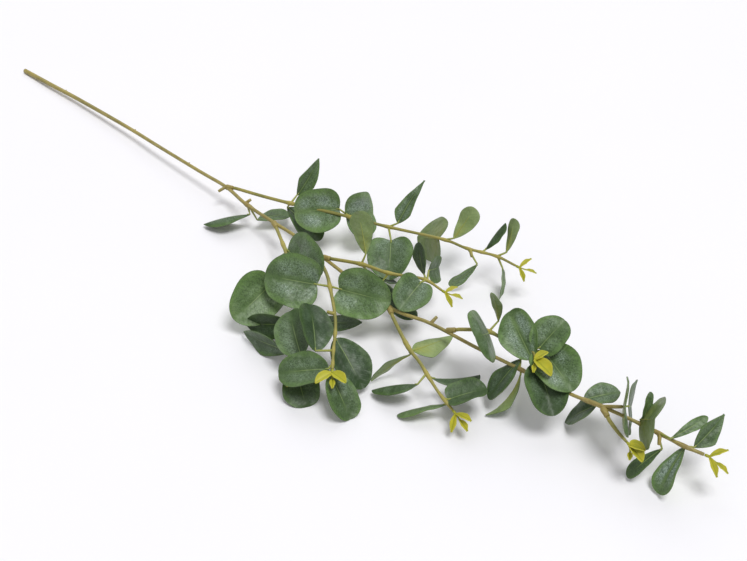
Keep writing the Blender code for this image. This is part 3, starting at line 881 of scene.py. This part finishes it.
def leaf_print_sheen_shade():
    """Grey-green printed blades, pale speckled bloom with painted sheen, painted shade, sage undersides."""
    s = Shader("leaf_print_sheen_shade")
    leaf = leaf_marks(s)
    cloth = s.mix(s.mark("under"), leaf_top(s, leaf), leaf_underside(s, leaf))
    colour = s.mix(leaf.edge.between(0.95, 0.99) * 0.45, cloth, CUT_EDGE)
    weave = s.bump(leaf.grain * 0.6 + leaf.speck * 0.4, 0.0001, 0.6)
    dents = s.bump(s.noise(60, 2), 0.006, 0.8, weave)
    relief = s.bump(1 - leaf.veins - leaf.line, 0.00015, 0.5, dents)
    return s.finish(colour, 0.36 + leaf.grain * 0.2, relief, CLOTH_GLOSS)


def stem_plastic():
    """Moulded olive plastic with golden patches and browner knuckles."""
    s = Shader("stem_plastic")
    patch = s.noise(28, 3)
    fleck = s.noise(420, 3, 0.6)
    streak = s.noise(1, 3, 0.6, s.stretched((60, 900, 900)))
    olive = s.mix(patch.between(0.35, 0.65), rgb(140, 130, 74), rgb(168, 152, 84))
    olive = s.mix(fleck.between(0.5, 0.7) * 0.5, olive, rgb(124, 114, 62))
    olive = s.mix(streak.between(0.45, 0.6) * 0.35, olive, rgb(196, 184, 118))
    olive = s.mix(s.mark("knuckle") * fleck.between(0.35, 0.6) * 0.6, olive, rgb(140, 118, 62))
    return s.finish(olive, 0.42 + fleck * 0.2, s.bump(fleck * 0.5 + streak, 0.0002, 0.5))


def twig_plastic():
    """Slimmer twigs are greener than the main stem."""
    s = Shader("twig_plastic")
    patch = s.noise(40, 3)
    fleck = s.noise(520, 3, 0.6)
    green = s.mix(patch.between(0.35, 0.65), rgb(136, 134, 70), rgb(164, 154, 80))
    green = s.mix(fleck.between(0.5, 0.7) * 0.45, green, rgb(122, 118, 62))
    green = s.mix(s.mark("knuckle") * 0.5, green, rgb(186, 172, 84))
    return s.finish(green, 0.42 + fleck * 0.2, s.bump(fleck, 0.0002, 0.4))


def stalk_plastic():
    """Yellow-green moulded stalks and ribs."""
    s = Shader("stalk_plastic")
    fleck = s.noise(500, 2)
    green = s.mix(s.mark("along"), rgb(162, 160, 72), rgb(150, 164, 88))
    green = s.mix(fleck.between(0.45, 0.7) * 0.4, green, rgb(142, 148, 68))
    return s.finish(green, 0.4 + fleck * 0.2, s.bump(fleck, 0.0001, 0.4))


def shoot_plastic():
    """Bright yellow-green soft tips, with painted shade making the fold darker and greener."""
    s = Shader("shoot_plastic")
    cloud = s.noise(160, 2)
    flat = abs(s.mark("across")).between(0.1, 1.3)
    yellow = s.mix(cloud.between(0.35, 0.65), rgb(194, 188, 52), rgb(180, 180, 54))
    # Painted shade along the fold of each leaflet
    yellow = s.mix((1 - flat) * 0.5, yellow, rgb(128, 136, 38))
    yellow = s.mix(s.mark("edge").between(0.7, 1) * 0.4, yellow, rgb(214, 208, 84))
    yellow = s.mix(s.mark("under") * 0.4, yellow, rgb(140, 146, 48))
    return s.finish(yellow, 0.4 + cloud * 0.15, s.bump(cloud + flat * 0.4, 0.0002, 0.4))


def studio_floor():
    """The pale surface that the spray lies on."""
    s = Shader("pale_surface")
    pale = s.mix(s.noise(3, 2), rgb(244, 243, 247), rgb(247, 246, 249))
    return s.finish(pale, FLOOR_ROUGHNESS, gloss=CLOTH_GLOSS)


def make_floor(material):
    bm = bmesh.new()
    bmesh.ops.create_grid(bm, x_segments=1, y_segments=1, size=FLOOR_REACH)
    mesh = bpy.data.meshes.new("floor")
    bm.to_mesh(mesh)
    bm.free()
    mesh.materials.append(material)
    floor = bpy.data.objects.new("floor", mesh)
    bpy.context.scene.collection.objects.link(floor)


def look_at(item, target):
    item.rotation_mode = "QUATERNION"
    item.rotation_quaternion = (target - item.location).to_track_quat("-Z", "Y")


def make_camera():
    data = bpy.data.cameras.new("camera")
    data.sensor_width = SENSOR
    data.lens = SENSOR * FOCAL_SHARE
    camera = bpy.data.objects.new("camera", data)
    camera.location = AIM + direction(CAMERA_AZIMUTH, CAMERA_RISE) * CAMERA_DISTANCE
    look_at(camera, AIM)
    bpy.context.scene.collection.objects.link(camera)
    bpy.context.scene.camera = camera


def soft_light(name, place, spread, strength):
    """A broad soft light that falls alike on the whole surface, from a place to the front, right and up."""
    data = bpy.data.lights.new(name, "SUN")
    data.angle = spread
    data.energy = strength
    lamp = bpy.data.objects.new(name, data)
    front, right = direction(CAMERA_AZIMUTH, 0), direction(CAMERA_AZIMUTH + 90, 0)
    lamp.location = AIM + front * place[0] + right * place[1] + Vector((0, 0, place[2]))
    look_at(lamp, AIM)
    bpy.context.scene.collection.objects.link(lamp)


def make_light():
    world = bpy.data.worlds.new("studio")
    world.use_nodes = True
    sky = world.node_tree.nodes["Background"]
    sky.inputs["Color"].default_value = SKY_COLOUR
    sky.inputs["Strength"].default_value = SKY_STRENGTH
    bpy.context.scene.world = world
    soft_light("key", KEY_PLACE, KEY_SPREAD, KEY_STRENGTH)
    soft_light("back", BACK_PLACE, BACK_SPREAD, BACK_STRENGTH)


def main():
    leaf = leaf_print_sheen_shade()
    olive, twig, stalks, tip = stem_plastic(), twig_plastic(), stalk_plastic(), shoot_plastic()
    for name in ROUTES:
        stem = make_stem(name, olive if name == "main_stem" else twig)
        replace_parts(stem, name)
        if LEAVES[name]:
            make_leaves(name, leaf, stalks)
        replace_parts(make_shoot(name, tip), f"shoot_{name}")
    make_floor(studio_floor())
    make_camera()
    make_light()
    bpy.context.scene.view_settings.view_transform = "Standard"


main()
